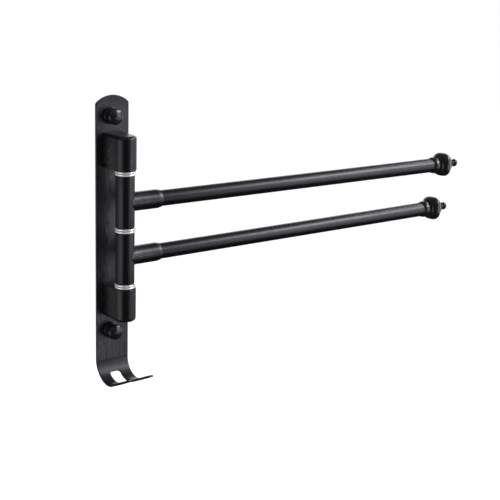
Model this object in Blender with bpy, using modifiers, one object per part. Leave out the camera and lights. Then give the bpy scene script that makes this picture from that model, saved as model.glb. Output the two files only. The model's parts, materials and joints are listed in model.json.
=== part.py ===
"""Wall-mounted swivel towel rack: a bent plate with a double hook, two brackets, and two arms on one rod.

Frame: the wall is the plane y = 0 and the rack stands out from it towards -Y. +X is to the right along
the wall, +Z is up, and the origin is on the plate's back face, level with the middle pair of washers.
"""

import bmesh
import bpy
from math import asin, atan2, cos, pi, radians, sin, sqrt
from mathutils import Matrix, Vector

MM = 0.001
GAP = 0.3 * MM  # clearance between pieces that touch on the real rack

# Mounting plate and its double hook, bent from one flat strip
PLATE_WIDTH = 31.6 * MM
PLATE_THICKNESS = 2.0 * MM
PLATE_TOP = 110.2 * MM
PLATE_SHOULDER = 103.8 * MM  # where the arched top meets the straight sides
SHOULDER_RADIUS = 2.0 * MM
BEND_START = -119.8 * MM
BEND_RADIUS = 17.2 * MM  # at the middle of the thickness
BEND_ANGLE = radians(116)
LIP_LENGTH = 23.3 * MM
HOOK_WIDTH = 30.4 * MM  # the strip narrows a little round the bend
NARROWED_BY = 14.0 * MM  # along the strip from the start of the bend
NOTCH_WIDTH = 10.4 * MM
NOTCH_DEPTH_ON_BEND = 12.7 * MM  # from the start of the bend to the top of the notch
NOTCH_CORNER = 2.8 * MM
BEND_STEPS = 14

# Wall screw holes and the caps that cover them
WALL_HOLE_HEIGHT = 93.4 * MM
WALL_HOLE_OFFSET = -2.5 * MM
WALL_HOLE_RADIUS = 2.6 * MM
CAP_BASE_RADIUS = 7.2 * MM
CAP_BASE_HEIGHT = 3.2 * MM
CAP_BOSS_RADIUS = 4.6 * MM
CAP_BOSS_HEIGHT = 5.6 * MM
CAP_RADIUS = 6.7 * MM
CAP_RIM_HEIGHT = 8.8 * MM  # where the rounded rim starts
CAP_RIM_ROUNDING = 2.2 * MM
CAP_DOME_RADIUS = 12.0 * MM
CAP_WALL = 1.4 * MM

# Pivot: rod, washers and sleeves stacked between the two brackets
AXIS_FROM_WALL = 22.0 * MM
STATION = 48.5 * MM  # from one pair of washers to the next
ROD_RADIUS = 4.0 * MM
ROD_HALF_LENGTH = 73.0 * MM
WASHER_RADIUS = 8.7 * MM
WASHER_THICKNESS = 1.75 * MM
SLEEVE_RADIUS = 8.0 * MM
SLEEVE_BORE = 6.2 * MM
BUSH_LENGTH = 10.0 * MM
BUSH_INSET = 0.5 * MM

# Brackets
BRACKET_OUTER_END = 79.5 * MM
BRACKET_BACK_HALF_WIDTH = 9.6 * MM
BRACKET_NOSE_RADIUS = 9.3 * MM
BRACKET_EDGE = 2.6 * MM
BRACKET_SCREW_INSET = 7.0 * MM
SCREW_RADIUS = 1.8 * MM
SCREW_HEAD_RADIUS = 3.5 * MM
SCREW_HEAD_HEIGHT = 1.6 * MM
SCREW_LENGTH = 10.5 * MM

# Arms, measured along the arm from the pivot axis
ARM_HEIGHT = 23.3 * MM  # above or below the middle washers
UPPER_ARM_REST = radians(2.6)  # away from the wall, in the rest pose
LOWER_ARM_REST = radians(1.0)
SOCKET_RADIUS = 8.05 * MM
SOCKET_END = 33.0 * MM
SOCKET_TAPER = 3.2 * MM
SOCKET_NOSE_RADIUS = 7.45 * MM
SOCKET_BORE_START = 13.0 * MM
SOCKET_ROOT = 1.0 * MM  # inside the sleeve's outline, so that the saddle cut meets it all round
TUBE_RADIUS = 6.8 * MM
TUBE_WALL = 1.3 * MM
TUBE_END = 343.6 * MM
END_RING_LENGTH = 7.6 * MM
END_RING_RADIUS = 8.1 * MM
SPIGOT_RADIUS = 4.7 * MM
SPIGOT_LENGTH = 9.0 * MM
STUD_RADIUS = 2.0 * MM
STUD_IN_FINIAL = 9.5 * MM
# The finial's outline, as distance from its back face and half-width. Its section is a rounded square at
# the middle of the body, with the sides level and upright, and turns round towards both ends.
FINIAL_OUTLINE = (
    (0.0, 6.6), (0.9, 7.6), (2.0, 9.2), (3.6, 10.6), (5.4, 11.3), (7.4, 11.4), (9.2, 10.8), (11.2, 9.5),
    (13.6, 7.7), (16.2, 5.9), (18.6, 4.3), (20.0, 3.2), (21.0, 2.8), (22.2, 3.4), (23.8, 3.8), (25.6, 3.2),
    (26.8, 1.9),
)
FINIAL_SQUARENESS = 3.0  # the power in the section's equation: 2 is a circle
FINIAL_ROUND_FROM = 20.0 * MM
FINIAL_LENGTH = 27.4 * MM

ROUND_STEPS = 24
SMALL_ROUND_STEPS = 16
SMOOTH_ANGLE = radians(32)


# ---------------------------------------------------------------- scene, materials and helpers

def clear_scene():
    for obj in list(bpy.data.objects):
        bpy.data.objects.remove(obj, do_unlink=True)


def new_collection(name, hidden=False):
    collection = bpy.data.collections.new(name)
    collection.hide_render = hidden
    bpy.context.scene.collection.children.link(collection)
    return collection


def new_material(name, colour, roughness, metallic):
    material = bpy.data.materials.new(name)
    material.use_nodes = True
    shader = material.node_tree.nodes["Principled BSDF"]
    shader.inputs["Base Color"].default_value = (*colour, 1.0)
    shader.inputs["Roughness"].default_value = roughness
    shader.inputs["Metallic"].default_value = metallic
    material.diffuse_color = (*colour, 1.0)
    return material


def new_object(name, data, parent=None, material=None, cutter=False):
    obj = bpy.data.objects.new(name, data)
    (CUTTERS if cutter else RACK).objects.link(obj)
    obj.parent = parent
    if cutter:
        obj.hide_render = True
        obj.display_type = "WIRE"
    if material:
        obj.data.materials.append(material)
    return obj


def evaluated_mesh(obj):
    """The object's mesh as its curve or modifiers make it, with loose caps welded on."""
    bpy.context.view_layer.update()
    graph = bpy.context.evaluated_depsgraph_get()
    mesh = bpy.data.meshes.new_from_object(obj.evaluated_get(graph))
    bm = bmesh.new()
    bm.from_mesh(mesh)
    bmesh.ops.remove_doubles(bm, verts=bm.verts, dist=0.001 * MM)
    bm.to_mesh(mesh)
    bm.free()
    return mesh


def smooth(mesh):
    mesh.shade_smooth()
    mesh.set_sharp_from_angle(angle=SMOOTH_ANGLE)


def turned(name, profile, closed=False, steps=ROUND_STEPS, **placing):
    """A solid turned about its own Z axis. profile holds (radius, height), outer side top to bottom."""
    count = len(profile)
    edges = [(i, i + 1) for i in range(count - 1)]
    if closed:
        edges.append((count - 1, 0))
    outline = bpy.data.meshes.new(name + "_outline")
    outline.from_pydata([(r, 0, h) for r, h in profile], edges, [])
    guide = bpy.data.objects.new(name + "_guide", outline)
    RACK.objects.link(guide)
    screw = guide.modifiers.new("turn", "SCREW")
    screw.axis = "Z"
    screw.angle = 2 * pi
    screw.steps = steps
    screw.render_steps = steps
    screw.use_merge_vertices = True
    screw.merge_threshold = 0.01 * MM
    mesh = evaluated_mesh(guide)
    bpy.data.objects.remove(guide)
    bpy.data.meshes.remove(outline)
    mesh.name = name
    smooth(mesh)
    return new_object(name, mesh, **placing)


def outline_solid(name, outline, thickness):
    """A mesh from a closed flat outline in XY, thickness thick and centred on z = 0."""
    curve = bpy.data.curves.new(name, "CURVE")
    curve.dimensions = "2D"
    curve.fill_mode = "BOTH"
    curve.extrude = thickness / 2
    spline = curve.splines.new("POLY")
    spline.points.add(len(outline) - 1)
    for point, (x, y) in zip(spline.points, outline):
        point.co = (x, y, 0, 1)
    spline.use_cyclic_u = True
    guide = bpy.data.objects.new(name + "_guide", curve)
    RACK.objects.link(guide)
    mesh = evaluated_mesh(guide)
    bpy.data.objects.remove(guide)
    bpy.data.curves.remove(curve)
    mesh.name = name
    return mesh


def arc(centre, radius, start, end, steps):
    """Points on an arc, angles in radians."""
    angles = [start + (end - start) * i / steps for i in range(steps + 1)]
    return [(centre[0] + radius * cos(a), centre[1] + radius * sin(a)) for a in angles]


def cylinder_cutter(name, radius, start, end, steps=ROUND_STEPS, parent=None):
    """A cylinder from one point to another, for cutting."""
    start, end = Vector(start), Vector(end)
    bm = bmesh.new()
    bmesh.ops.create_cone(
        bm, cap_ends=True, segments=steps, radius1=radius, radius2=radius, depth=(end - start).length
    )
    turn = (end - start).to_track_quat("Z", "Y").to_matrix().to_4x4()
    bmesh.ops.transform(bm, matrix=Matrix.Translation((start + end) / 2) @ turn, verts=bm.verts)
    mesh = bpy.data.meshes.new(name)
    bm.to_mesh(mesh)
    bm.free()
    return new_object(name, mesh, parent=parent, cutter=True)


def cut(obj, cutter):
    boolean = obj.modifiers.new(cutter.name, "BOOLEAN")
    boolean.operation = "DIFFERENCE"
    boolean.solver = "EXACT"
    boolean.object = cutter


def ring_profile(outer, inner, low, high, edge):
    """The closed section of a ring whose outer edges are chamfered."""
    return [
        (outer - edge, high), (outer, high - edge), (outer, low + edge), (outer - edge, low),
        (inner, low), (inner, high),
    ]


# ---------------------------------------------------------------- plate with the double hook

def flat_strip_outline():
    """The strip before it is bent: x across it, y along it, with y = 0 at the start of the bend."""
    half = PLATE_WIDTH / 2
    top = PLATE_TOP - BEND_START
    rise = PLATE_TOP - PLATE_SHOULDER
    arch = (half**2 + rise**2) / (2 * rise)
    centre = (0, top - arch)
    reach = asin(half / arch) - SHOULDER_RADIUS / arch
    top_arc = arc(centre, arch, pi / 2 - reach, pi / 2 + reach, 14)
    side_drop = top - rise - SHOULDER_RADIUS
    hook_half = HOOK_WIDTH / 2
    prong = (hook_half - NOTCH_WIDTH / 2) / 2
    prong_x = hook_half - prong
    tip = -(BEND_RADIUS * BEND_ANGLE + LIP_LENGTH - prong)
    notch_half = NOTCH_WIDTH / 2
    notch_top = -NOTCH_DEPTH_ON_BEND - NOTCH_CORNER
    corner = notch_half - NOTCH_CORNER
    outline = top_arc + [(-half, side_drop), (-half, 0), (-hook_half, -NARROWED_BY)]
    outline += arc((-prong_x, tip), prong, pi, 2 * pi, 8)
    outline += arc((-corner, notch_top), NOTCH_CORNER, pi, pi / 2, 4)
    outline += arc((corner, notch_top), NOTCH_CORNER, pi / 2, 0, 4)
    outline += arc((prong_x, tip), prong, pi, 2 * pi, 8)
    outline += [(hook_half, -NARROWED_BY), (half, 0), (half, side_drop)]
    return outline


def bend(point):
    """Where a point of the flat strip (across, along, through) goes once the hook is bent forward."""
    across, along, through = point
    if along >= 0:
        return Vector((across, -PLATE_THICKNESS / 2 + through, BEND_START + along))
    travelled = -along
    angle = min(travelled / BEND_RADIUS, BEND_ANGLE)
    rest = max(travelled - BEND_RADIUS * BEND_ANGLE, 0)
    radius = BEND_RADIUS + through
    y = -PLATE_THICKNESS / 2 - BEND_RADIUS + radius * cos(angle) - rest * sin(angle)
    z = BEND_START - radius * sin(angle) - rest * cos(angle)
    return Vector((across, y, z))


def make_plate():
    mesh = outline_solid("mounting_plate", flat_strip_outline(), PLATE_THICKNESS)
    bm = bmesh.new()
    bm.from_mesh(mesh)
    for step in range(BEND_STEPS + 1):
        along = -BEND_RADIUS * BEND_ANGLE * step / BEND_STEPS
        everything = bm.verts[:] + bm.edges[:] + bm.faces[:]
        bmesh.ops.bisect_plane(bm, geom=everything, plane_co=(0, along, 0), plane_no=(0, 1, 0))
    for vert in bm.verts:
        vert.co = bend(vert.co)
    bmesh.ops.recalc_face_normals(bm, faces=bm.faces)
    bm.to_mesh(mesh)
    bm.free()
    smooth(mesh)
    plate = new_object("mounting_plate", mesh, material=SATIN_BLACK)
    for side in (1, -1):
        place = "upper" if side > 0 else "lower"
        x, z = WALL_HOLE_OFFSET, side * WALL_HOLE_HEIGHT
        hole = cylinder_cutter(
            place + "_wall_hole", WALL_HOLE_RADIUS, (x, 5 * MM, z), (x, -8 * MM, z), SMALL_ROUND_STEPS
        )
        cut(plate, hole)
    for number, height in enumerate(bracket_screw_heights(), 1):
        cut(plate, screw_space(f"bracket_screw_{number}_space", height))
    return plate


# ---------------------------------------------------------------- brackets and their screws

def bracket_inner_end():
    return STATION + washer_pair() / 2


def washer_pair():
    """The height that two washers and their clearances take between a sleeve and its neighbour."""
    return 2 * WASHER_THICKNESS + 3 * GAP


def bracket_screw_heights():
    inner = bracket_inner_end() + BRACKET_SCREW_INSET
    outer = BRACKET_OUTER_END - BRACKET_SCREW_INSET
    return outer, inner, -inner, -outer


def screw_profile(clearance, length):
    """A countersunk screw with its head at the bottom of its own Z axis."""
    head, shank = SCREW_HEAD_RADIUS + clearance, SCREW_RADIUS + clearance
    return [
        (0, length), (shank - 0.4 * MM, length), (shank, length - 0.4 * MM),
        (shank, SCREW_HEAD_HEIGHT + clearance), (head, 0.4 * MM), (head, 0), (0, 0),
    ]


def make_bracket_screws():
    for number, height in enumerate(bracket_screw_heights(), 1):
        screw = turned(
            f"bracket_screw_{number}", screw_profile(0, SCREW_LENGTH), steps=SMALL_ROUND_STEPS, material=STEEL
        )
        screw.rotation_euler = (pi / 2, 0, 0)
        screw.location = (0, -GAP, height)


def screw_space(name, height):
    """The countersunk hole for one bracket screw, a gap wider than the screw all round."""
    profile = screw_profile(GAP, SCREW_LENGTH + 2 * GAP)
    profile[-2:] = [(SCREW_HEAD_RADIUS + GAP, -2 * MM), (0, -2 * MM)]
    space = turned(name, profile, steps=SMALL_ROUND_STEPS, cutter=True)
    space.rotation_euler = (pi / 2, 0, 0)
    space.location = (0, -GAP, height)
    return space


def bracket_outline():
    """Plan section: straight at the plate, tapering to a round nose about the pivot axis."""
    back = -PLATE_THICKNESS - GAP
    to_corner = Vector((BRACKET_BACK_HALF_WIDTH, AXIS_FROM_WALL + back))
    tangent = atan2(to_corner.y, to_corner.x) - asin(sqrt(1 - (BRACKET_NOSE_RADIUS / to_corner.length) ** 2))
    nose = arc((0, -AXIS_FROM_WALL), BRACKET_NOSE_RADIUS, pi - tangent, 2 * pi + tangent, 20)
    return [(BRACKET_BACK_HALF_WIDTH, back), (-BRACKET_BACK_HALF_WIDTH, back)] + nose


def make_bracket(place, side):
    height = BRACKET_OUTER_END - bracket_inner_end()
    mesh = outline_solid(place + "_bracket", bracket_outline(), height)
    middle = side * (BRACKET_OUTER_END + bracket_inner_end()) / 2
    bm = bmesh.new()
    bm.from_mesh(mesh)
    bmesh.ops.recalc_face_normals(bm, faces=bm.faces)
    back = -PLATE_THICKNESS - GAP
    rounded = [
        edge
        for edge in bm.edges
        if all(v.co.z * side > height / 2 - 0.01 * MM for v in edge.verts)
        and any(abs(face.normal.z) < 0.5 for face in edge.link_faces)
        and not all(abs(v.co.y - back) < 0.01 * MM for v in edge.verts)
    ]
    bmesh.ops.bevel(
        bm, geom=rounded, offset=BRACKET_EDGE, segments=4, profile=0.5, affect="EDGES", clamp_overlap=True
    )
    bmesh.ops.translate(bm, vec=(0, 0, middle), verts=bm.verts)
    bm.to_mesh(mesh)
    bm.free()
    smooth(mesh)
    bracket = new_object(place + "_bracket", mesh, material=SATIN_BLACK)
    near = side * (bracket_inner_end() - 5 * MM)
    far = side * (ROD_HALF_LENGTH + GAP)
    cut(bracket, cylinder_cutter(
        place + "_rod_hole", ROD_RADIUS + GAP, (0, -AXIS_FROM_WALL, near), (0, -AXIS_FROM_WALL, far)
    ))
    for number, screw_height in enumerate(bracket_screw_heights(), 1):
        if screw_height * side > 0:
            cut(bracket, bpy.data.objects[f"bracket_screw_{number}_space"])
    return bracket


# ---------------------------------------------------------------- rod and washers

def make_rod():
    edge = 0.8 * MM
    profile = [
        (0, ROD_HALF_LENGTH), (ROD_RADIUS - edge, ROD_HALF_LENGTH), (ROD_RADIUS, ROD_HALF_LENGTH - edge),
        (ROD_RADIUS, -ROD_HALF_LENGTH + edge), (ROD_RADIUS - edge, -ROD_HALF_LENGTH), (0, -ROD_HALF_LENGTH),
    ]
    rod = turned("pivot_rod", profile, steps=24, material=STEEL)
    rod.location = (0, -AXIS_FROM_WALL, 0)


def make_washer(name, low, parent=None):
    """A washer whose lower face is at this height on the pivot axis."""
    profile = ring_profile(WASHER_RADIUS, ROD_RADIUS + GAP, low, low + WASHER_THICKNESS, 0.35 * MM)
    washer = turned(name, profile, closed=True, parent=parent, material=BRIGHT_METAL)
    if parent is None:
        washer.location = (0, -AXIS_FROM_WALL, 0)


def make_bracket_washers():
    make_washer("upper_bracket_washer", bracket_inner_end() - GAP - WASHER_THICKNESS)
    make_washer("lower_bracket_washer", -bracket_inner_end() + GAP)


# ---------------------------------------------------------------- arms

def along_arm(obj, height):
    """Turns an object whose own Z axis is its length, so that it lies along the arm."""
    obj.rotation_euler = (0, pi / 2, 0)
    obj.location = (0, 0, height)
    return obj


def tube_start():
    return SOCKET_BORE_START + GAP


def make_sleeve(place, pivot, low, high):
    turned(
        place + "_sleeve", ring_profile(SLEEVE_RADIUS, SLEEVE_BORE, low, high, 0.5 * MM),
        closed=True, parent=pivot, material=SATIN_BLACK,
    )
    for end, start in (("top", high - BUSH_INSET - BUSH_LENGTH), ("bottom", low + BUSH_INSET)):
        turned(
            f"{place}_sleeve_bush_{end}",
            ring_profile(SLEEVE_BORE - GAP, ROD_RADIUS + GAP, start, start + BUSH_LENGTH, 0.3 * MM),
            closed=True, steps=24, parent=pivot, material=NYLON,
        )
    make_washer(place + "_arm_washer_top", high + GAP, pivot)
    make_washer(place + "_arm_washer_bottom", low - GAP - WASHER_THICKNESS, pivot)


def make_socket(place, pivot, height):
    bore = TUBE_RADIUS + GAP
    profile = [
        (bore, SOCKET_END), (SOCKET_NOSE_RADIUS, SOCKET_END),
        (SOCKET_RADIUS, SOCKET_END - SOCKET_TAPER), (SOCKET_RADIUS, SOCKET_ROOT), (0, SOCKET_ROOT),
        (0, SOCKET_BORE_START), (bore, SOCKET_BORE_START),
    ]
    socket = along_arm(
        turned(place + "_arm_socket", profile, closed=True, parent=pivot, material=SATIN_BLACK), height
    )
    space = cylinder_cutter(
        place + "_sleeve_space", SLEEVE_RADIUS + GAP, (0, 0, height - 15 * MM), (0, 0, height + 15 * MM),
        parent=pivot,
    )
    cut(socket, space)


def make_tube(place, pivot, height):
    profile = ring_profile(TUBE_RADIUS, TUBE_RADIUS - TUBE_WALL, tube_start(), TUBE_END, 0.2 * MM)
    along_arm(
        turned(place + "_arm_tube", profile, closed=True, parent=pivot, material=SATIN_BLACK), height
    )


def make_end_ring(place, pivot, height):
    """The bead at the tube's end, on a spigot inside the tube and drilled for the finial's stud."""
    back = TUBE_END + GAP
    front = back + END_RING_LENGTH
    middle = (back + front) / 2
    bead = [
        (middle + END_RING_LENGTH / 2 * cos(a), END_RING_RADIUS - (1 - sin(a)) * 1.5 * MM)
        for a in (radians(d) for d in range(0, 181, 20))
    ]
    drill = STUD_RADIUS + GAP
    profile = [(drill, front)] + [(r, h) for h, r in bead]
    profile += [(SPIGOT_RADIUS, back), (SPIGOT_RADIUS, back - SPIGOT_LENGTH), (drill, back - SPIGOT_LENGTH)]
    along_arm(turned(place + "_end_ring", profile, closed=True, parent=pivot, material=GLOSS_BLACK), height)
    return front


def finial_widening(along, angle):
    """How far the section reaches at this angle round the axis, as a multiple of its half-width."""
    power = FINIAL_SQUARENESS
    square = (abs(cos(angle)) ** power + abs(sin(angle)) ** power) ** (-1 / power)
    share = sin(pi * min(along / FINIAL_ROUND_FROM, 1))
    return 1 + (square - 1) * share


def make_finial(place, pivot, height, back):
    start = back + GAP
    outline = [(radius * MM, start + length * MM) for length, radius in FINIAL_OUTLINE]
    drill = STUD_RADIUS + GAP
    depth = start + STUD_IN_FINIAL + GAP
    profile = [(0, start + FINIAL_LENGTH)] + outline[::-1] + [(drill, start), (drill, depth), (0, depth)]
    finial = turned(place + "_finial", profile, closed=True, parent=pivot, material=GLOSS_BLACK)
    for vert in finial.data.vertices:
        if Vector((vert.co.x, vert.co.y)).length > drill + 0.1 * MM:
            widening = finial_widening(vert.co.z - start, atan2(vert.co.y, vert.co.x))
            vert.co.x *= widening
            vert.co.y *= widening
    along_arm(finial, height)
    low, high = back - END_RING_LENGTH - SPIGOT_LENGTH, start + STUD_IN_FINIAL
    stud = [(0, high), (STUD_RADIUS, high), (STUD_RADIUS, low), (0, low)]
    along_arm(
        turned(place + "_finial_stud", stud, steps=SMALL_ROUND_STEPS, parent=pivot, material=STEEL), height
    )


def make_arm(place, side, rest_angle):
    """One swinging arm, in the frame of its pivot: +X runs out along the arm."""
    pivot = bpy.data.objects.new(place + "_arm_pivot", None)
    RACK.objects.link(pivot)
    pivot.location = (0, -AXIS_FROM_WALL, 0)
    pivot.rotation_euler = (0, 0, -rest_angle)
    ends = (side * washer_pair() / 2, side * (STATION - washer_pair() / 2))
    make_sleeve(place, pivot, min(ends), max(ends))
    height = side * ARM_HEIGHT
    make_socket(place, pivot, height)
    make_tube(place, pivot, height)
    front = make_end_ring(place, pivot, height)
    make_finial(place, pivot, height, front)


# ---------------------------------------------------------------- caps over the wall screws

def make_cap(place, side):
    face = -PLATE_THICKNESS - GAP
    edge = 0.7 * MM
    base = [
        (CAP_BOSS_RADIUS, CAP_BOSS_HEIGHT), (CAP_BOSS_RADIUS, CAP_BASE_HEIGHT),
        (CAP_BASE_RADIUS - edge, CAP_BASE_HEIGHT), (CAP_BASE_RADIUS, CAP_BASE_HEIGHT - edge),
        (CAP_BASE_RADIUS, 0), (WALL_HOLE_RADIUS, 0), (WALL_HOLE_RADIUS, CAP_BOSS_HEIGHT),
    ]
    low = CAP_BASE_HEIGHT + GAP
    inner = CAP_RADIUS - CAP_WALL
    rim = (CAP_RADIUS - CAP_RIM_ROUNDING, CAP_RIM_HEIGHT)
    drop = sqrt((CAP_DOME_RADIUS - CAP_RIM_ROUNDING) ** 2 - rim[0] ** 2)
    meeting = atan2(drop, rim[0])
    dome = arc((0, CAP_RIM_HEIGHT - drop), CAP_DOME_RADIUS, pi / 2, meeting, 3)
    dome[0] = (0, CAP_RIM_HEIGHT - drop + CAP_DOME_RADIUS)
    lid = dome[:-1] + arc(rim, CAP_RIM_ROUNDING, meeting, 0, 5) + [
        (CAP_RADIUS, low + edge / 2), (CAP_RADIUS - edge / 2, low), (inner, low),
        (inner, CAP_RIM_HEIGHT - edge), (inner - edge, CAP_RIM_HEIGHT), (0, CAP_RIM_HEIGHT),
    ]
    pieces = (
        turned(place + "_cap_base", base, closed=True, material=GLOSS_BLACK),
        turned(place + "_screw_cap", lid, material=GLOSS_BLACK),
    )
    for piece in pieces:
        piece.rotation_euler = (pi / 2, 0, 0)
        piece.location = (WALL_HOLE_OFFSET, face, side * WALL_HOLE_HEIGHT)


# ---------------------------------------------------------------- the rack

clear_scene()
RACK = new_collection("swivel_towel_rack")
CUTTERS = new_collection("cutters", hidden=True)
SATIN_BLACK = new_material("satin_black_aluminium", (0.022, 0.021, 0.025), 0.38, 0.6)
GLOSS_BLACK = new_material("gloss_black_plating", (0.012, 0.012, 0.014), 0.14, 0.7)
BRIGHT_METAL = new_material("bright_washer_metal", (0.86, 0.86, 0.87), 0.16, 1.0)
STEEL = new_material("zinc_plated_steel", (0.55, 0.56, 0.58), 0.32, 1.0)
NYLON = new_material("natural_nylon", (0.78, 0.76, 0.70), 0.45, 0.0)

make_plate()
make_bracket_screws()
make_bracket("upper", 1)
make_bracket("lower", -1)
make_rod()
make_bracket_washers()
make_arm("upper", 1, UPPER_ARM_REST)
make_arm("lower", -1, LOWER_ARM_REST)
make_cap("upper", 1)
make_cap("lower", -1)
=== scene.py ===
"""The looks of a wall-mounted swivel towel rack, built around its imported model.

Metres throughout. The wall is the plane y = 0 and the rack stands out from it towards -Y. +X runs to the
right along the wall and +Z is up. Each finished piece stands for the plain solid of the same name.
"""

import json
from math import asin, atan2, cos, hypot, pi, radians, sin, sqrt, tan

import bmesh
import bpy
from mathutils import Matrix, Vector


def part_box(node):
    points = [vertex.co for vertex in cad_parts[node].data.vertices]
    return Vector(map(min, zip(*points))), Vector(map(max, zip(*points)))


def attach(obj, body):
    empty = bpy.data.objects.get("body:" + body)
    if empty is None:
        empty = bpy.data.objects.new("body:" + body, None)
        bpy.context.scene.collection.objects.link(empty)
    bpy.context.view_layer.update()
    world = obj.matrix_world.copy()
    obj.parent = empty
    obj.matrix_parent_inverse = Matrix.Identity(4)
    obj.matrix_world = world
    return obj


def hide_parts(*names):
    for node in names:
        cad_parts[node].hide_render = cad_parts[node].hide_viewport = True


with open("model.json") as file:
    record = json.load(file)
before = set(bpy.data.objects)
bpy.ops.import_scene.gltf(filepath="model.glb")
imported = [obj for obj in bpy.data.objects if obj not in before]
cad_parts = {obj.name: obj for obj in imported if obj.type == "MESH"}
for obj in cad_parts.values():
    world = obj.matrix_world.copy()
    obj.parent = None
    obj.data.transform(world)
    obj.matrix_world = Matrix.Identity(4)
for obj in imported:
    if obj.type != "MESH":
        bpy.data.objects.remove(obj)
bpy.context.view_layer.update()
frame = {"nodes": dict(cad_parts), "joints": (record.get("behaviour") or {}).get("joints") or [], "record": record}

MM = 0.001

# ---------------------------------------------------------------- measures taken from the frame

PLATE_LOW, PLATE_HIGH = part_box("mounting_plate")
PIVOT_Y = frame["joints"][0]["pos_m"][1]
BRACKET_LOW, BRACKET_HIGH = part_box("upper_bracket")
BODIES = frame["record"]["behaviour"]["bodies"]
ARMS = {"upper": 1, "lower": -1}

GAP = 0.3 * MM  # between neighbouring pieces
PLATE_HALF_WIDTH = (PLATE_HIGH.x - PLATE_LOW.x) / 2
PLATE_THICKNESS = -BRACKET_HIGH.y - GAP
PLATE_TOP = PLATE_HIGH.z

# The strip's outline and bend
ARCH_RISE = 6.4 * MM
STRIP_EDGE = 0.45 * MM
BEND_START = -119.8 * MM
BEND_RADIUS = 17.2 * MM
BEND_ANGLE = radians(116)
LIP_LENGTH = 23.3 * MM
SHOULDER_RADIUS = 2.2 * MM
HOOK_HALF_WIDTH = 15.2 * MM
NARROWED_BY = 14.0 * MM
NOTCH_HALF = 5.2 * MM
NOTCH_START = 12.7 * MM
NOTCH_CORNER = 2.8 * MM
BEND_STEPS = 44

WALL_HOLE_RADIUS = 2.6 * MM
CAP_FLANGE = 3.2 * MM
CAP_BOSS_RADIUS = 4.6 * MM
CAP_WALL = 1.4 * MM
CAP_DOME_RADIUS = 12.0 * MM
CAP_RIM_ROUNDING = 2.2 * MM
SCREW_RADIUS = 1.8 * MM
SCREW_HEAD_RADIUS = 3.5 * MM
SCREW_HEAD_HEIGHT = 1.6 * MM
HEX_RADIUS = 1.25 * MM
HEX_DEPTH = 1.3 * MM

NOSE_RADIUS = 9.3 * MM
BRACKET_ROUNDING = 2.7 * MM
BRACKET_INNER_EDGE = 0.45 * MM
ROD_BORE = 4.3 * MM
ROD_BORE_DEPTH = 21.0 * MM
PAST_FACE = 1.0 * MM  # how far a cutter starts outside the face that it cuts

SLEEVE_RADIUS = 8.0 * MM
SLEEVE_BORE = 6.2 * MM
SOCKET_RADIUS = 8.05 * MM
SOCKET_END = 33.0 * MM
SOCKET_TAPER = 3.2 * MM
SOCKET_ROOT = 1.0 * MM
SOCKET_NOSE_RADIUS = 7.45 * MM
TUBE_RADIUS = 6.8 * MM
TUBE_BORE = 5.5 * MM
TUBE_START = 13.3 * MM
TUBE_END = 343.6 * MM
RING_LENGTH = 7.6 * MM
RING_RADIUS = 8.1 * MM
SPIGOT_RADIUS = 4.7 * MM
SPIGOT_LENGTH = 9.0 * MM
STUD_BORE = 2.3 * MM
STUD_BORE_DEPTH = 9.8 * MM
SADDLE_REACH = 15.0 * MM
RING_ROUNDING = 1.5 * MM
WASHER_EDGE = 0.7 * MM
SLEEVE_EDGE = 0.5 * MM

FINIAL_SQUARENESS = 3.0
FINIAL_ROUND_FROM = 20.0 * MM

FORWARD = Matrix.Rotation(pi / 2, 4, "X")  # turns a piece's own +Z to point away from the wall

ROUND_STEPS = 96
FINE_STEPS = 128


# ---------------------------------------------------------------- outlines

def arc(centre, radius, start, end, steps):
    """Points on an arc from one angle to another, in degrees."""
    angles = [radians(start + (end - start) * i / steps) for i in range(steps + 1)]
    return [(centre[0] + radius * cos(a), centre[1] + radius * sin(a)) for a in angles]


def softened(corners, steps=5):
    """A line through (x, y, radius) corners, each turned into an arc of its radius."""
    line = []
    last = len(corners) - 1
    for i, (x, y, radius) in enumerate(corners):
        here = Vector((x, y))
        if radius == 0 or i in (0, last):
            line.append((x, y))
            continue
        back = Vector(corners[i - 1][:2]) - here
        ahead = Vector(corners[i + 1][:2]) - here
        half = back.angle(ahead) / 2
        reach = min(radius / tan(half), 0.49 * back.length, 0.49 * ahead.length)
        middle = here + (back.normalized() + ahead.normalized()).normalized() * (reach / cos(half))
        start = here + back.normalized() * reach - middle
        end = here + ahead.normalized() * reach - middle
        first = atan2(start.y, start.x)
        turn = (atan2(end.y, end.x) - first + pi) % (2 * pi) - pi
        for step in range(steps + 1):
            angle = first + turn * step / steps
            line.append((middle.x + start.length * cos(angle), middle.y + start.length * sin(angle)))
    return line


def smooth_line(points, steps=6):
    """A smooth line through the points, as a Catmull-Rom curve."""
    line = []
    for i in range(len(points) - 1):
        p0 = Vector(points[max(i - 1, 0)])
        p1 = Vector(points[i])
        p2 = Vector(points[i + 1])
        p3 = Vector(points[min(i + 2, len(points) - 1)])
        for step in range(steps):
            t = step / steps
            spot = 0.5 * (
                2 * p1 + (p2 - p0) * t + (2 * p0 - 5 * p1 + 4 * p2 - p3) * t**2
                + (3 * p1 - p0 - 3 * p2 + p3) * t**3
            )
            line.append((max(spot.x, 0), spot.y))
    line.append(tuple(points[-1]))
    return line


# ---------------------------------------------------------------- shapes

def lathe(line, closed=False, steps=ROUND_STEPS):
    """A turned solid about Z from a line of (radius, height)."""
    bm = bmesh.new()
    verts = [bm.verts.new((radius, 0, height)) for radius, height in line]
    edges = [bm.edges.new(pair) for pair in zip(verts, verts[1:])]
    if closed:
        edges.append(bm.edges.new((verts[-1], verts[0])))
    bmesh.ops.spin(
        bm, geom=verts + edges, cent=(0, 0, 0), axis=(0, 0, 1), angle=2 * pi, steps=steps, use_merge=True
    )
    bmesh.ops.remove_doubles(bm, verts=bm.verts, dist=0.0005 * MM)
    bmesh.ops.recalc_face_normals(bm, faces=bm.faces)
    return bm


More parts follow.
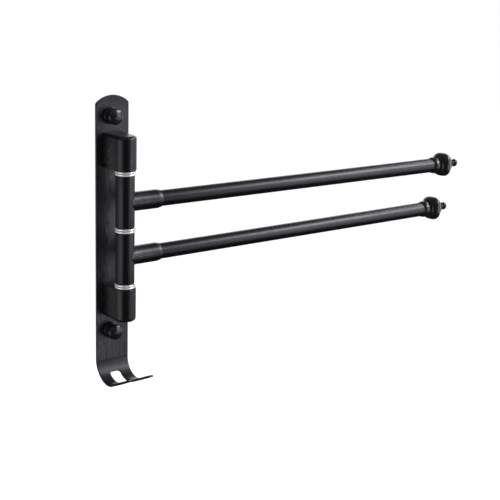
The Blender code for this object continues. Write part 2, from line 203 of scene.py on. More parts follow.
def slab(outline, thickness):
    """A flat outline in XY, made solid from z = 0 to z = thickness."""
    bm = bmesh.new()
    face = bm.faces.new([bm.verts.new((x, y, 0)) for x, y in outline])
    swept = bmesh.ops.extrude_face_region(bm, geom=[face])["geom"]
    top = [item for item in swept if isinstance(item, bmesh.types.BMVert)]
    bmesh.ops.translate(bm, vec=(0, 0, thickness), verts=top)
    bmesh.ops.recalc_face_normals(bm, faces=bm.faces)
    return bm


def rim_edges(bm, height):
    """The edges round a slab's flat face at this height."""
    return [
        edge for edge in bm.edges
        if all(abs(v.co.z - height) < 0.01 * MM for v in edge.verts)
        and any(abs(face.normal.z) < 0.5 for face in edge.link_faces)
    ]


def round_edges(bm, edges, radius, segments):
    bmesh.ops.bevel(
        bm, geom=edges, offset=radius, segments=segments, profile=0.5, affect="EDGES", material=-1,
        clamp_overlap=True,
    )


def keep_place(bm):
    """Notes where each point lies before the piece is bent or placed, for patterns that follow it."""
    layer = bm.verts.layers.float_vector.new("maker_place")
    for vert in bm.verts:
        vert[layer] = vert.co


def cutter(radius_low, radius_high, low, high, sides=48):
    """A round cutter along Z, which may taper."""
    bm = bmesh.new()
    bmesh.ops.create_cone(
        bm, cap_ends=True, segments=sides, radius1=radius_low, radius2=radius_high, depth=high - low
    )
    bmesh.ops.translate(bm, vec=(0, 0, (low + high) / 2), verts=bm.verts)
    return bm


def cut_out(bm, cutters):
    """The shape with each (bmesh, matrix) cutter taken out of it, as a new bmesh."""
    body_mesh = bpy.data.meshes.new("blank")
    bm.to_mesh(body_mesh)
    bm.free()
    blank = bpy.data.objects.new("blank", body_mesh)
    bpy.context.scene.collection.objects.link(blank)
    helpers = []
    for tool, place in cutters:
        bmesh.ops.transform(tool, matrix=place, verts=tool.verts)
        bmesh.ops.recalc_face_normals(tool, faces=tool.faces)
        tool_mesh = bpy.data.meshes.new("tool")
        tool.to_mesh(tool_mesh)
        tool.free()
        helper = bpy.data.objects.new("tool", tool_mesh)
        bpy.context.scene.collection.objects.link(helper)
        helpers.append(helper)
        boolean = blank.modifiers.new("cut", "BOOLEAN")
        boolean.operation = "DIFFERENCE"
        boolean.solver = "EXACT"
        boolean.object = helper
    bpy.context.view_layer.update()
    result = bmesh.new()
    result.from_object(blank, bpy.context.evaluated_depsgraph_get())
    for helper in helpers + [blank]:
        spare = helper.data
        bpy.data.objects.remove(helper)
        bpy.data.meshes.remove(spare)
    return result


def finished(node, bm, material, place=None, sharp=30, weighted=False):
    """Puts a finished piece in the scene in place of the plain solid of that name."""
    if "maker_place" not in bm.verts.layers.float_vector:
        keep_place(bm)
    if place is not None:
        bmesh.ops.transform(bm, matrix=place, verts=bm.verts)
    mesh = bpy.data.meshes.new(node + "_finished")
    bm.to_mesh(mesh)
    bm.free()
    mesh.shade_smooth()
    mesh.set_sharp_from_angle(angle=radians(sharp))
    mesh.materials.append(material)
    obj = bpy.data.objects.new(node + "_finished", mesh)
    bpy.context.scene.collection.objects.link(obj)
    if weighted:
        normals = obj.modifiers.new("flat_faces_stay_flat", "WEIGHTED_NORMAL")
        normals.keep_sharp = True
        normals.weight = 100
    body = next(name for name, nodes in BODIES.items() if node in nodes)
    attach(obj, body)
    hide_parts(node)


# ---------------------------------------------------------------- material helpers

class Nodes:
    """Short words for building a node tree."""

    def __init__(self, tree):
        self.tree = tree

    def add(self, kind, **settings):
        node = self.tree.nodes.new(kind)
        for name, value in settings.items():
            setattr(node, name, value)
        return node

    def link(self, source, target):
        self.tree.links.new(source, target)

    def value(self, target, source):
        """Sets an input to a number or colour, or links it to an output."""
        if isinstance(source, bpy.types.NodeSocket):
            self.link(source, target)
        else:
            target.default_value = source

    def maths(self, operation, first, second=0.0, clamp=False):
        node = self.add("ShaderNodeMath", operation=operation, use_clamp=clamp)
        self.value(node.inputs[0], first)
        self.value(node.inputs[1], second)
        return node.outputs[0]

    def scaled(self, vector, factors):
        node = self.add("ShaderNodeVectorMath", operation="MULTIPLY")
        self.value(node.inputs[0], vector)
        node.inputs[1].default_value = factors
        return node.outputs[0]

    def noise(self, vector, scale, detail=2.0, roughness=0.5):
        node = self.add("ShaderNodeTexNoise")
        self.value(node.inputs["Vector"], vector)
        self.value(node.inputs["Scale"], scale)
        node.inputs["Detail"].default_value = detail
        node.inputs["Roughness"].default_value = roughness
        return node.outputs["Fac"]

    def spread(self, value, low, high, to_low=0.0, to_high=1.0):
        node = self.add("ShaderNodeMapRange", clamp=True)
        self.value(node.inputs["Value"], value)
        node.inputs["From Min"].default_value = low
        node.inputs["From Max"].default_value = high
        node.inputs["To Min"].default_value = to_low
        node.inputs["To Max"].default_value = to_high
        return node.outputs["Result"]

    def blend(self, factor, first, second):
        node = self.add("ShaderNodeMix", data_type="RGBA")
        self.value(node.inputs[0], factor)
        self.value(node.inputs[6], first)
        self.value(node.inputs[7], second)
        return node.outputs[2]

    def use(self, group, **inputs):
        node = self.add("ShaderNodeGroup")
        node.node_tree = group
        for name, value in inputs.items():
            self.value(node.inputs[name], value)
        return node

    def bump(self, height, strength, distance, normal=None):
        node = self.add("ShaderNodeBump")
        node.inputs["Strength"].default_value = strength
        node.inputs["Distance"].default_value = distance
        self.link(height, node.inputs["Height"])
        if normal is not None:
            self.link(normal, node.inputs["Normal"])
        return node.outputs["Normal"]


def new_group(name, inputs, outputs):
    """A shader node group with float or vector inputs and float outputs, and its helper and end nodes."""
    tree = bpy.data.node_groups.new(name, "ShaderNodeTree")
    for socket, kind, default in inputs:
        made = tree.interface.new_socket(socket, in_out="INPUT", socket_type=kind)
        if default is not None:
            made.default_value = default
    for socket in outputs:
        tree.interface.new_socket(socket, in_out="OUTPUT", socket_type="NodeSocketFloat")
    nodes = Nodes(tree)
    return nodes, nodes.add("NodeGroupInput").outputs, nodes.add("NodeGroupOutput").inputs


def lines_group():
    """Fine lines left by drawing, brushing or turning: one value that runs across them."""
    nodes, given, out = new_group(
        "tool_lines", [("Place", "NodeSocketVector", None), ("Density", "NodeSocketFloat", 1.0)],
        ["Height", "Tone"],
    )
    fine = nodes.noise(given["Place"], nodes.maths("MULTIPLY", given["Density"], 2600.0), 2.0, 0.6)
    broad = nodes.noise(given["Place"], nodes.maths("MULTIPLY", given["Density"], 420.0), 2.0, 0.5)
    both = nodes.maths("ADD", nodes.maths("MULTIPLY", fine, 0.65), nodes.maths("MULTIPLY", broad, 0.35))
    nodes.link(both, out["Height"])
    nodes.link(nodes.spread(both, 0.35, 0.65), out["Tone"])
    return nodes.tree


def grain_group():
    """The fine pebble of an etched and anodised surface."""
    nodes, given, out = new_group(
        "etched_grain", [("Place", "NodeSocketVector", None), ("Size", "NodeSocketFloat", 1.0)],
        ["Height", "Tone"],
    )
    fine = nodes.noise(given["Place"], nodes.maths("DIVIDE", 3400.0, given["Size"]), 3.0, 0.6)
    patch = nodes.noise(given["Place"], nodes.maths("DIVIDE", 700.0, given["Size"]), 2.0, 0.5)
    both = nodes.maths("ADD", nodes.maths("MULTIPLY", fine, 0.7), nodes.maths("MULTIPLY", patch, 0.3))
    nodes.link(both, out["Height"])
    nodes.link(nodes.spread(patch, 0.3, 0.7), out["Tone"])
    return nodes.tree


def handling_group():
    """Soft cloudy smears where hands and towels have rubbed."""
    nodes, given, out = new_group("handling", [("Place", "NodeSocketVector", None)], ["Smear"])
    cloud = nodes.noise(given["Place"], 55.0, 4.0, 0.55)
    streak = nodes.noise(nodes.scaled(given["Place"], (1.0, 1.0, 0.3)), 210.0, 3.0, 0.6)
    both = nodes.maths("MULTIPLY", nodes.spread(cloud, 0.42, 0.66), nodes.spread(streak, 0.3, 0.75))
    nodes.link(both, out["Smear"])
    return nodes.tree


def wear_and_glint_group():
    """A mask of the sharp edges, broken up along their length: rubbed wear, and a painted highlight on the edges
    that would catch the light.
    """
    nodes, given, out = new_group(
        "edge_wear_and_painted_glint",
        [
            ("Place", "NodeSocketVector", None), ("From", "NodeSocketFloat", 0.53),
            ("To", "NodeSocketFloat", 0.6),
        ],
        ["Mask"],
    )
    sharpness = nodes.add("ShaderNodeNewGeometry").outputs["Pointiness"]
    above = nodes.maths("SUBTRACT", sharpness, given["From"])
    span = nodes.maths("SUBTRACT", given["To"], given["From"])
    edge = nodes.maths("DIVIDE", above, span, clamp=True)
    broken = nodes.spread(nodes.noise(given["Place"], 900.0, 4.0, 0.65), 0.4, 0.62)
    nodes.link(nodes.maths("MULTIPLY", edge, broken), out["Mask"])
    return nodes.tree


def dust_group():
    """Specks of dust, thicker on what faces up."""
    nodes, given, out = new_group("dust", [("Place", "NodeSocketVector", None)], ["Mask"])
    split = nodes.add("ShaderNodeSeparateXYZ")
    nodes.link(nodes.add("ShaderNodeNewGeometry").outputs["Normal"], split.inputs[0])
    facing_up = nodes.spread(split.outputs["Z"], 0.1, 1.0, 0.15, 1.0)
    specks = nodes.spread(nodes.noise(given["Place"], 2300.0, 1.0, 0.4), 0.72, 0.8)
    nodes.link(nodes.maths("MULTIPLY", facing_up, specks), out["Mask"])
    return nodes.tree


LINES = lines_group()
GRAIN = grain_group()
HANDLING = handling_group()
EDGE_WEAR_AND_GLINT = wear_and_glint_group()
DUST = dust_group()


def new_material(name, metallic, specular, coat=0.0, coat_roughness=0.1):
    material = bpy.data.materials.new(name)
    material.use_nodes = True
    nodes = Nodes(material.node_tree)
    shader = material.node_tree.nodes["Principled BSDF"]
    shader.inputs["Metallic"].default_value = metallic
    shader.inputs["Specular IOR Level"].default_value = specular
    shader.inputs["Coat Weight"].default_value = coat
    shader.inputs["Coat Roughness"].default_value = coat_roughness
    return material, nodes, shader


def maker_place(nodes):
    return nodes.add("ShaderNodeAttribute", attribute_name="maker_place").outputs["Vector"]


def ring_place(nodes, place):
    """Radius and height of a turned piece, so that a pattern runs round it in rings."""
    split = nodes.add("ShaderNodeSeparateXYZ")
    nodes.link(place, split.inputs[0])
    across = nodes.maths("POWER", split.outputs["X"], 2.0)
    deep = nodes.maths("POWER", split.outputs["Y"], 2.0)
    radius = nodes.maths("SQRT", nodes.maths("ADD", across, deep))
    joined = nodes.add("ShaderNodeCombineXYZ")
    nodes.link(radius, joined.inputs["X"])
    nodes.link(split.outputs["Z"], joined.inputs["Z"])
    return joined.outputs[0]


def satin_black(name, stretch=None, rings=False, line_bump=0.05, base=0.055, rough=0.36):
    """Black anodised aluminium. stretch lays the lines along the piece, and rings lays them round it."""
    material, nodes, shader = new_material(name, 1.0, 0.5)
    place = maker_place(nodes)
    along = ring_place(nodes, place) if rings else nodes.scaled(place, stretch)
    lines = nodes.use(LINES, Place=along)
    grain = nodes.use(GRAIN, Place=place)
    smear = nodes.use(HANDLING, Place=place).outputs["Smear"]
    edge_wear_and_glint = nodes.use(EDGE_WEAR_AND_GLINT, Place=place).outputs["Mask"]
    dust = nodes.use(DUST, Place=place).outputs["Mask"]
    dark = (base * 0.9, base * 0.88, base * 0.97, 1.0)
    light = (base * 1.12, base * 1.1, base * 1.22, 1.0)
    colour = nodes.blend(lines.outputs["Tone"], dark, light)
    # Sharp edges lightened to grey: partly rubbed wear, partly a painted highlight that stands in for the glint on
    # the coped socket root.
    colour = nodes.blend(nodes.maths("MULTIPLY", edge_wear_and_glint, 0.55), colour, (0.32, 0.32, 0.34, 1.0))
    colour = nodes.blend(nodes.maths("MULTIPLY", dust, 0.25), colour, (0.3, 0.29, 0.27, 1.0))
    nodes.link(colour, shader.inputs["Base Color"])
    roughness = nodes.spread(grain.outputs["Tone"], 0.0, 1.0, rough - 0.035, rough + 0.035)
    roughness = nodes.maths("ADD", roughness, nodes.maths("MULTIPLY", smear, 0.07))
    nodes.link(roughness, shader.inputs["Roughness"])
    normal = nodes.bump(lines.outputs["Height"], line_bump, 0.02 * MM)
    normal = nodes.bump(grain.outputs["Height"], 0.12, 0.02 * MM, normal)
    nodes.link(normal, shader.inputs["Normal"])
    return material


def gloss_black():
    """Gloss black lacquer over a casting, with a slight orange peel and a few fine wipe marks."""
    material, nodes, shader = new_material("gloss_black_lacquer", 0.9, 0.5, coat=0.5, coat_roughness=0.05)
    place = maker_place(nodes)
    smear = nodes.use(HANDLING, Place=place).outputs["Smear"]
    dust = nodes.use(DUST, Place=place).outputs["Mask"]
    edge_wear_and_glint = nodes.use(EDGE_WEAR_AND_GLINT, Place=place, From=0.56, To=0.64).outputs["Mask"]
    # Sharp edges lightened: partly rubbed wear, partly a painted highlight.
    colour = nodes.blend(nodes.maths("MULTIPLY", edge_wear_and_glint, 0.3), (0.04, 0.04, 0.043, 1.0), (0.2, 0.2, 0.21, 1.0))
    colour = nodes.blend(nodes.maths("MULTIPLY", dust, 0.3), colour, (0.3, 0.29, 0.27, 1.0))
    nodes.link(colour, shader.inputs["Base Color"])
    nodes.link(nodes.spread(smear, 0.0, 1.0, 0.3, 0.38), shader.inputs["Roughness"])
    peel = nodes.noise(place, 650.0, 2.0, 0.5)
    nodes.link(nodes.bump(peel, 0.12, 0.03 * MM), shader.inputs["Normal"])
    return material


def bright_metal():
    """Polished washer steel with fine turning rings."""
    material, nodes, shader = new_material("bright_turned_steel", 0.7, 0.5)
    place = maker_place(nodes)
    lines = nodes.use(LINES, Place=ring_place(nodes, place), Density=1.6)
    smear = nodes.use(HANDLING, Place=place).outputs["Smear"]
    colour = nodes.blend(lines.outputs["Tone"], (0.78, 0.78, 0.79, 1.0), (0.9, 0.9, 0.9, 1.0))
    nodes.link(colour, shader.inputs["Base Color"])
    nodes.link(nodes.spread(smear, 0.0, 1.0, 0.15, 0.26), shader.inputs["Roughness"])
    nodes.link(nodes.bump(lines.outputs["Height"], 0.15, 0.02 * MM), shader.inputs["Normal"])
    return material


def zinc_steel(from_object=False):
    """Zinc-plated steel with its faint spangle. Plain solids read their pattern from where they lie."""
    material, nodes, shader = new_material("zinc_plated_steel" + ("_rod" if from_object else ""), 1.0, 0.5)
    place = nodes.add("ShaderNodeTexCoord").outputs["Object"] if from_object else maker_place(nodes)
    spangle = nodes.add("ShaderNodeTexVoronoi")
    nodes.link(place, spangle.inputs["Vector"])
    spangle.inputs["Scale"].default_value = 900.0
    tone = nodes.spread(spangle.outputs["Distance"], 0.0, 0.6)
    colour = nodes.blend(tone, (0.5, 0.51, 0.53, 1.0), (0.62, 0.62, 0.63, 1.0))
    nodes.link(colour, shader.inputs["Base Color"])
    grain = nodes.use(GRAIN, Place=place)
    nodes.link(nodes.spread(grain.outputs["Tone"], 0.0, 1.0, 0.26, 0.4), shader.inputs["Roughness"])
    nodes.link(nodes.bump(grain.outputs["Height"], 0.15, 0.02 * MM), shader.inputs["Normal"])
    return material


def natural_nylon():
    """Milky moulded nylon."""
    material, nodes, shader = new_material("natural_nylon", 0.0, 0.4)
    place = nodes.add("ShaderNodeTexCoord").outputs["Object"]
    grain = nodes.use(GRAIN, Place=place, Size=1.5)
    colour = nodes.blend(grain.outputs["Tone"], (0.74, 0.72, 0.66, 1.0), (0.8, 0.78, 0.72, 1.0))
    nodes.link(colour, shader.inputs["Base Color"])
    nodes.link(nodes.spread(grain.outputs["Tone"], 0.0, 1.0, 0.4, 0.5), shader.inputs["Roughness"])
    nodes.link(nodes.bump(grain.outputs["Height"], 0.2, 0.02 * MM), shader.inputs["Normal"])
    shader.inputs["Subsurface Weight"].default_value = 0.1
    return material


STRIP_BLACK = satin_black("satin_black_strip", stretch=(1.0, 0.02, 1.0), line_bump=0.02, rough=0.42)
BLOCK_BLACK = satin_black("satin_black_block", stretch=(1.0, 1.0, 0.02))
TUBE_BLACK = satin_black("satin_black_drawn_tube", stretch=(1.0, 1.0, 0.01))
TURNED_BLACK = satin_black("satin_black_turned", rings=True)
GLOSS_BLACK = gloss_black()
BRIGHT_METAL = bright_metal()
ZINC_STEEL = zinc_steel()
ZINC_ROD = zinc_steel(from_object=True)
NYLON = natural_nylon()


# ---------------------------------------------------------------- plate with the double hook

def strip_outline():
    """The strip before it is bent: x across, y along it, with y = 0 where the bend starts."""
    half = PLATE_HALF_WIDTH
    top = PLATE_TOP - BEND_START
    arch = (half**2 + ARCH_RISE**2) / (2 * ARCH_RISE)
    shoulder = 2.0 * MM
    reach = 90 - (asin(half / arch) - shoulder / arch) * 180 / pi
    prong = (HOOK_HALF_WIDTH - NOTCH_HALF) / 2
    tip = -(BEND_RADIUS * BEND_ANGLE + LIP_LENGTH - prong)
    corner = NOTCH_HALF - NOTCH_CORNER
    notch_top = -NOTCH_START - NOTCH_CORNER
    shoulder_y = top - ARCH_RISE
    side = 6 * MM
    points = softened(
        [(half, shoulder_y - side, 0), (half, shoulder_y, SHOULDER_RADIUS)]
        + [(x, y, 0) for x, y in arc((0, top - arch), arch, reach, 180 - reach, 28)]
        + [(-half, shoulder_y, SHOULDER_RADIUS), (-half, shoulder_y - side, 0)]
    )
    points += [(-half, 0), (-HOOK_HALF_WIDTH, -NARROWED_BY)]
    points += arc((-HOOK_HALF_WIDTH + prong, tip), prong, 180, 360, 20)
    points += arc((-corner, notch_top), NOTCH_CORNER, 180, 90, 8)
    points += arc((corner, notch_top), NOTCH_CORNER, 90, 0, 8)
    points += arc((HOOK_HALF_WIDTH - prong, tip), prong, 180, 360, 20)
    points += [(HOOK_HALF_WIDTH, -NARROWED_BY), (half, 0)]
    return points


def bent(point):
    """Where a point of the flat strip (across, along, through) goes once the hook is bent."""
    across, along, through = point
    middle = PLATE_THICKNESS / 2
    if along >= 0:
        return Vector((across, -PLATE_THICKNESS + through, BEND_START + along))
    angle = min(-along / BEND_RADIUS, BEND_ANGLE)
    rest = max(-along - BEND_RADIUS * BEND_ANGLE, 0)
    radius = BEND_RADIUS - middle + through
    y = -middle - BEND_RADIUS + radius * cos(angle) - rest * sin(angle)
    z = BEND_START - radius * sin(angle) - rest * cos(angle)
    return Vector((across, y, z))


def make_plate():
    bm = slab(strip_outline(), PLATE_THICKNESS)
    round_edges(bm, rim_edges(bm, 0) + rim_edges(bm, PLATE_THICKNESS), STRIP_EDGE, 3)
    bmesh.ops.triangulate(bm, faces=[face for face in bm.faces if len(face.verts) > 4])
    for step in range(BEND_STEPS + 1):
        along = -BEND_RADIUS * BEND_ANGLE * step / BEND_STEPS
        parts = bm.verts[:] + bm.edges[:] + bm.faces[:]
        bmesh.ops.bisect_plane(bm, geom=parts, plane_co=(0, along, 0), plane_no=(0, 1, 0))
    keep_place(bm)
    for vert in bm.verts:
        vert.co = bent(vert.co)
    bmesh.ops.recalc_face_normals(bm, faces=bm.faces)
    tools = []
    for place in ARMS:
        low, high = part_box(place + "_cap_base")
        hole = Matrix.Translation(((low.x + high.x) / 2, 0, (low.z + high.z) / 2)) @ FORWARD
        tools.append((cutter(WALL_HOLE_RADIUS, WALL_HOLE_RADIUS, -2 * MM, 6 * MM), hole))
    for number in range(1, 5):
        low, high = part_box(f"bracket_screw_{number}")
        hole = Matrix.Translation((0, -GAP, (low.z + high.z) / 2)) @ FORWARD
        head, shank = SCREW_HEAD_RADIUS + GAP, SCREW_RADIUS + GAP
        tools.append((cutter(head + 0.2 * MM, shank, -0.32 * MM, SCREW_HEAD_HEIGHT), hole))
        tools.append((cutter(shank, shank, SCREW_HEAD_HEIGHT - 0.3 * MM, 6 * MM), hole))
    bm = cut_out(bm, tools)
    finished("mounting_plate", bm, STRIP_BLACK, sharp=32, weighted=True)


# ---------------------------------------------------------------- brackets and their screws

def bracket_outline():
    """The plan of a bracket, straight at the plate and round about the rod."""
    back = BRACKET_HIGH.y
    half = (BRACKET_HIGH.x - BRACKET_LOW.x) / 2
    to_corner = Vector((half, back - PIVOT_Y))
    lean = atan2(to_corner.y, to_corner.x) - asin(sqrt(1 - (NOSE_RADIUS / to_corner.length) ** 2))
    nose = arc((0, PIVOT_Y), NOSE_RADIUS, 180 - lean * 180 / pi, 360 + lean * 180 / pi, 44)
    return [(half, back), (-half, back)] + nose


def make_bracket(place, side):
    low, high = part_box(place + "_bracket")
    height = high.z - low.z
    bm = slab(bracket_outline(), height)
    back = BRACKET_HIGH.y
    outer, inner = (height, 0) if side > 0 else (0, height)
    outer_rim = [e for e in rim_edges(bm, outer) if not all(abs(v.co.y - back) < 0.01 * MM for v in e.verts)]
    round_edges(bm, outer_rim, BRACKET_ROUNDING, 8)
    inner_rim = [e for e in rim_edges(bm, inner) if not all(abs(v.co.y - back) < 0.01 * MM for v in e.verts)]
    round_edges(bm, inner_rim, BRACKET_INNER_EDGE, 3)
    bore = Matrix.Translation((0, PIVOT_Y, inner))
    ends = (-PAST_FACE, ROD_BORE_DEPTH) if side > 0 else (-ROD_BORE_DEPTH, PAST_FACE)
    bm = cut_out(bm, [(cutter(ROD_BORE, ROD_BORE, *ends), bore)])
    finished(
        place + "_bracket", bm, BLOCK_BLACK, place=Matrix.Translation((0, 0, low.z)),
        sharp=32, weighted=True,
    )


def make_bracket_screw(number):
    """A countersunk screw with a hexagon socket, its head flush in the plate's back."""
    node = f"bracket_screw_{number}"
    low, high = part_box(node)
    length = high.y - low.y
    line = softened([
        (0, length, 0), (SCREW_RADIUS, length, 0.5 * MM), (SCREW_RADIUS, SCREW_HEAD_HEIGHT, 0.3 * MM),
        (SCREW_HEAD_RADIUS, 0.35 * MM, 0.1 * MM), (SCREW_HEAD_RADIUS, 0, 0.12 * MM), (0, 0, 0),
    ], 3)
    bm = lathe(line, steps=48)
    socket = cutter(HEX_RADIUS, HEX_RADIUS, -PAST_FACE, HEX_DEPTH, sides=6)
    bm = cut_out(bm, [(socket, Matrix.Identity(4))])
    where = Matrix.Translation(((low.x + high.x) / 2, high.y, (low.z + high.z) / 2)) @ FORWARD
    finished(node, bm, ZINC_STEEL, place=where)


# ---------------------------------------------------------------- washers and caps

def make_washer(node):
    low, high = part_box(node)
    radius = (high.x - low.x) / 2
    thick = high.z - low.z
    line = softened([
        (ROD_BORE, thick, 0), (radius, thick, WASHER_EDGE), (radius, 0, WASHER_EDGE), (ROD_BORE, 0, 0),
    ], 8)
    where = Matrix.Translation((0, PIVOT_Y, low.z))
    finished(node, lathe(line, closed=True, steps=FINE_STEPS), BRIGHT_METAL, place=where)


def make_cap(place):
    """The ring under a domed cap, and the cap that hides the wall screw."""
    low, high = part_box(place + "_cap_base")
    radius = (high.x - low.x) / 2
    boss = high.y - low.y
    middle = Vector(((low.x + high.x) / 2, high.y, (low.z + high.z) / 2))
    where = Matrix.Translation(middle) @ FORWARD
    line = softened([
        (WALL_HOLE_RADIUS, boss, 0), (CAP_BOSS_RADIUS, boss, 0.4 * MM), (CAP_BOSS_RADIUS, CAP_FLANGE, 0),
        (radius - 0.3 * MM, CAP_FLANGE, 0.6 * MM), (radius, CAP_FLANGE - 1.2 * MM, 0.9 * MM),
        (radius, 0, 0.2 * MM), (WALL_HOLE_RADIUS, 0, 0),
    ])
    finished(place + "_cap_base", lathe(line, closed=True), GLOSS_BLACK, place=where)
    low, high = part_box(place + "_screw_cap")
    radius = (high.x - low.x) / 2
    foot = middle.y - high.y
    top = middle.y - low.y
    inner = radius - CAP_WALL
    rim = (radius - CAP_RIM_ROUNDING, top - CAP_DOME_RADIUS + cap_drop(radius))
    meeting = atan2(cap_drop(radius), rim[0]) * 180 / pi
    dome = arc((0, top - CAP_DOME_RADIUS), CAP_DOME_RADIUS, 90, meeting, 12)
    dome[0] = (0, top)
    rounding = arc(rim, CAP_RIM_ROUNDING, meeting, 0, 12)
    skirt = softened([
        (radius, rim[1], 0), (radius, foot, 0.35 * MM), (inner, foot, 0.2 * MM), (inner, rim[1], 0.6 * MM),
        (0, rim[1], 0),
    ])
    line = dome[:-1] + rounding + skirt[1:]
    finished(place + "_screw_cap", lathe(line), GLOSS_BLACK, place=where)


def cap_drop(radius):
    """How far the centre of the dome's curve lies behind the centre of its rounded rim."""
    return sqrt((CAP_DOME_RADIUS - CAP_RIM_ROUNDING) ** 2 - (radius - CAP_RIM_ROUNDING) ** 2)


# ---------------------------------------------------------------- arms

def arm_place(place):
    """The matrix that lays a piece made along Z out along the arm, from the pivot's axis."""
    low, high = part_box(place + "_arm_tube")
    centre = (low + high) / 2
    swing = atan2(PIVOT_Y - centre.y, centre.x)
    return (
        Matrix.Translation((0, PIVOT_Y, centre.z))
        @ Matrix.Rotation(-swing, 4, "Z")
        @ Matrix.Rotation(pi / 2, 4, "Y")
    )


def make_sleeve(place):
    node = place + "_sleeve"
    low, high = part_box(node)
    height = high.z - low.z
    line = softened([
        (SLEEVE_BORE, height, 0.2 * MM), (SLEEVE_RADIUS, height, SLEEVE_EDGE),
        (SLEEVE_RADIUS, 0, SLEEVE_EDGE), (SLEEVE_BORE, 0, 0.2 * MM),
    ])
    where = Matrix.Translation((0, PIVOT_Y, low.z))
    finished(node, lathe(line, closed=True, steps=FINE_STEPS), TUBE_BLACK, place=where)


def make_socket(place, where):
    """The socket, coped to the sleeve at its root and tapered at its outer end."""
    bore = TUBE_RADIUS + GAP
    start = SOCKET_END - SOCKET_TAPER
    line = softened([
        (bore, SOCKET_END, 0), (SOCKET_NOSE_RADIUS, SOCKET_END, 0.3 * MM), (SOCKET_RADIUS, start, 0.8 * MM),
        (SOCKET_RADIUS, SOCKET_ROOT, 0), (0, SOCKET_ROOT, 0), (0, TUBE_START - GAP, 0),
        (bore, TUBE_START - GAP, 0),
    ])
    bm = lathe(line, closed=True, steps=FINE_STEPS)
    saddle = cutter(SLEEVE_RADIUS + GAP, SLEEVE_RADIUS + GAP, -SADDLE_REACH, SADDLE_REACH, sides=160)
    bm = cut_out(bm, [(saddle, Matrix.Rotation(pi / 2, 4, "Y"))])
    finished(place + "_arm_socket", bm, TURNED_BLACK, place=where, weighted=True)


def make_tube(place, where):
    edge = 0.25 * MM
    line = softened([
        (TUBE_BORE, TUBE_END, edge), (TUBE_RADIUS, TUBE_END, edge), (TUBE_RADIUS, TUBE_START, edge),
        (TUBE_BORE, TUBE_START, edge),
    ])
    finished(place + "_arm_tube", lathe(line, closed=True), TUBE_BLACK, place=where)


def make_end_ring(place, where):
    back = TUBE_END + GAP
    front = back + RING_LENGTH
    middle = (back + front) / 2
    bead = [
        (RING_RADIUS - RING_ROUNDING * (1 - sin(turn)), middle + RING_LENGTH / 2 * cos(turn))
        for turn in (radians(degrees) for degrees in range(0, 181, 6))
    ]
    line = [(STUD_BORE, front)] + bead + [
        (SPIGOT_RADIUS, back), (SPIGOT_RADIUS, back - SPIGOT_LENGTH), (STUD_BORE, back - SPIGOT_LENGTH),
    ]
    finished(place + "_end_ring", lathe(line, closed=True), GLOSS_BLACK, place=where)
    return front


# The finial's half-width and its distance from the back face, in millimetres
FINIAL_LINE = (
    (6.6, 0.0), (7.6, 0.9), (9.2, 2.0), (10.6, 3.6), (11.3, 5.4), (11.4, 7.4), (10.8, 9.2), (9.5, 11.2),
    (7.7, 13.6), (5.9, 16.2), (4.3, 18.6), (3.2, 20.0), (2.8, 21.0), (3.4, 22.2), (3.8, 23.8), (3.2, 25.6),
    (1.9, 26.8), (0.0, 27.4),
)


def finial_widening(along, angle):
    """A rounded-square section at the middle of the body, round towards both ends."""
    power = FINIAL_SQUARENESS
    square = (abs(cos(angle)) ** power + abs(sin(angle)) ** power) ** (-1 / power)
    share = sin(pi * min(max(along, 0) / FINIAL_ROUND_FROM, 1))
    return 1 + (square - 1) * share


def make_finial(place, where, back):
    start = back + GAP
    depth = start + STUD_BORE_DEPTH
    profile = smooth_line([(radius * MM, along * MM) for radius, along in FINIAL_LINE])
    line = [(0, depth), (STUD_BORE, depth), (STUD_BORE, start)]
    line += [(radius, start + along) for radius, along in profile]
    bm = lathe(line, steps=FINE_STEPS)
    for vert in bm.verts:
        if hypot(vert.co.x, vert.co.y) > STUD_BORE + 0.1 * MM:
            widening = finial_widening(vert.co.z - start, atan2(vert.co.y, vert.co.x))
            vert.co.x *= widening
            vert.co.y *= widening
    finished(place + "_finial", bm, GLOSS_BLACK, place=where, sharp=40)


def make_arm(place):
    where = arm_place(place)
    make_sleeve(place)
    make_socket(place, where)
    make_tube(place, where)
    front = make_end_ring(place, where)
    make_finial(place, where, front)
    for end in ("top", "bottom"):
        make_washer(f"{place}_arm_washer_{end}")


# ---------------------------------------------------------------- the rack

make_plate()
for number in range(1, 5):
    make_bracket_screw(number)
for place, side in ARMS.items():
    make_bracket(place, side)
    make_washer(place + "_bracket_washer")
    make_cap(place)
    make_arm(place)

# Hidden working pieces keep their plain solids and take their own finishes
for node, obj in frame["nodes"].items():
    finish = None
    if "bush" in node:
        finish = NYLON
    elif "rod" in node or "stud" in node:
        finish = ZINC_ROD
    if finish:
        obj.data.materials.clear()
        obj.data.materials.append(finish)


# ---------------------------------------------------------------- stage, light and camera

FLOOR_LEVEL = -1.2
STAGE_SIZE = 60.0
TARGET = Vector((0.15026, 0.0, -0.04449))
CAMERA_YAW = radians(38.0)
CAMERA_PITCH = radians(15.34)
CAMERA_ROLL = radians(1.78)
CAMERA_DISTANCE = 1.1378
CAMERA_LENS = 87.9
LIT_POINT = Vector((0.12, -0.03, 0.0))
LIGHT_DISTANCE = 2.6


def plain(name, colour, glow):
    material = bpy.data.materials.new(name)
    material.use_nodes = True
    shader = material.node_tree.nodes["Principled BSDF"]
    shader.inputs["Base Color"].default_value = (*colour, 1.0)
    shader.inputs["Roughness"].default_value = 0.9
    shader.inputs["Specular IOR Level"].default_value = 0.1
    shader.inputs["Emission Color"].default_value = (*colour, 1.0)
    shader.inputs["Emission Strength"].default_value = glow
    return material


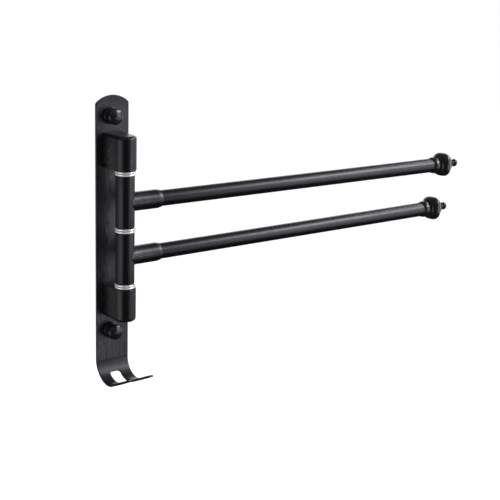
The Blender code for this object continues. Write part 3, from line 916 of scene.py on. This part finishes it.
def make_floor():
    bm = bmesh.new()
    bmesh.ops.create_grid(bm, x_segments=1, y_segments=1, size=STAGE_SIZE / 2)
    bmesh.ops.translate(bm, vec=(0, 0, FLOOR_LEVEL), verts=bm.verts)
    mesh = bpy.data.meshes.new("floor")
    bm.to_mesh(mesh)
    bm.free()
    mesh.materials.append(plain("pale_floor", (0.95, 0.95, 0.95), 0.12))
    floor = bpy.data.objects.new("floor", mesh)
    bpy.context.scene.collection.objects.link(floor)
    floor.visible_glossy = False


def make_world():
    """Even pale light all round, but a dim room in reflections, so that black metal keeps its tones."""
    world = bpy.data.worlds.new("studio")
    world.use_nodes = True
    bpy.context.scene.world = world
    nodes = Nodes(world.node_tree)
    background = world.node_tree.nodes["Background"]
    split = nodes.add("ShaderNodeSeparateXYZ")
    nodes.link(nodes.add("ShaderNodeTexCoord").outputs["Generated"], split.inputs[0])
    height = nodes.spread(split.outputs["Z"], 0.25, 1.0)
    room = nodes.blend(height, (0.03, 0.03, 0.03, 1.0), (0.22, 0.22, 0.23, 1.0))
    path = nodes.add("ShaderNodeLightPath")
    colour = nodes.blend(path.outputs["Is Glossy Ray"], (0.96, 0.96, 0.97, 1.0), room)
    nodes.link(colour, background.inputs["Color"])


def softbox(name, azimuth, elevation, spread, rise, radiance, tint=(1.0, 1.0, 1.0)):
    """A soft rectangular light that spans this many degrees each way from the middle of the rack.

    Azimuth 0 is straight out from the wall and 90 is along +X.
    """
    turn, lift = radians(azimuth), radians(elevation)
    towards = Vector((sin(turn) * cos(lift), -cos(turn) * cos(lift), sin(lift)))
    data = bpy.data.lights.new(name, "AREA")
    data.shape = "RECTANGLE"
    data.size = 2 * LIGHT_DISTANCE * tan(radians(spread))
    data.size_y = 2 * LIGHT_DISTANCE * tan(radians(rise))
    data.energy = radiance * data.size * data.size_y * pi
    data.color = tint
    light = bpy.data.objects.new(name, data)
    bpy.context.scene.collection.objects.link(light)
    light.location = LIT_POINT + towards * LIGHT_DISTANCE
    light.rotation_euler = towards.to_track_quat("Z", "Y").to_euler()
    light.visible_camera = False


def make_lights():
    softbox("key", 55, 33, 17, 10, 9.0, (0.97, 0.985, 1.0))
    softbox("front", 44, 6, 17, 12, 2.2, (0.95, 0.98, 1.0))
    softbox("low_front", 45, -16, 30, 9, 1.0, (0.93, 0.97, 1.0))
    softbox("right_card", 92, -5, 16, 14, 1.2, (0.9, 0.95, 1.0))
    softbox("glint", 100, 27, 6, 6, 12.0)
    softbox("left_card", -88, -14, 22, 16, 1.15)
    softbox("back_left_card", -138, -14, 22, 14, 0.25)
    softbox("back", 150, 12, 20, 16, 2.2)


def make_camera():
    yaw, pitch, roll = CAMERA_YAW, CAMERA_PITCH, CAMERA_ROLL
    ahead = Vector((sin(yaw) * cos(pitch), cos(yaw) * cos(pitch), -sin(pitch)))
    level = Vector((cos(yaw), -sin(yaw), 0))
    upright = level.cross(ahead)
    right = level * cos(roll) + upright * sin(roll)
    up = upright * cos(roll) - level * sin(roll)
    data = bpy.data.cameras.new("camera")
    data.lens = CAMERA_LENS
    data.sensor_width = 36.0
    data.clip_end = 200.0
    camera = bpy.data.objects.new("camera", data)
    bpy.context.scene.collection.objects.link(camera)
    turn = Matrix((right, up, -ahead)).transposed().to_4x4()
    camera.matrix_world = Matrix.Translation(TARGET - ahead * CAMERA_DISTANCE) @ turn
    bpy.context.scene.camera = camera


make_floor()
make_world()
make_lights()
make_camera()
bpy.context.scene.view_settings.view_transform = "Standard"
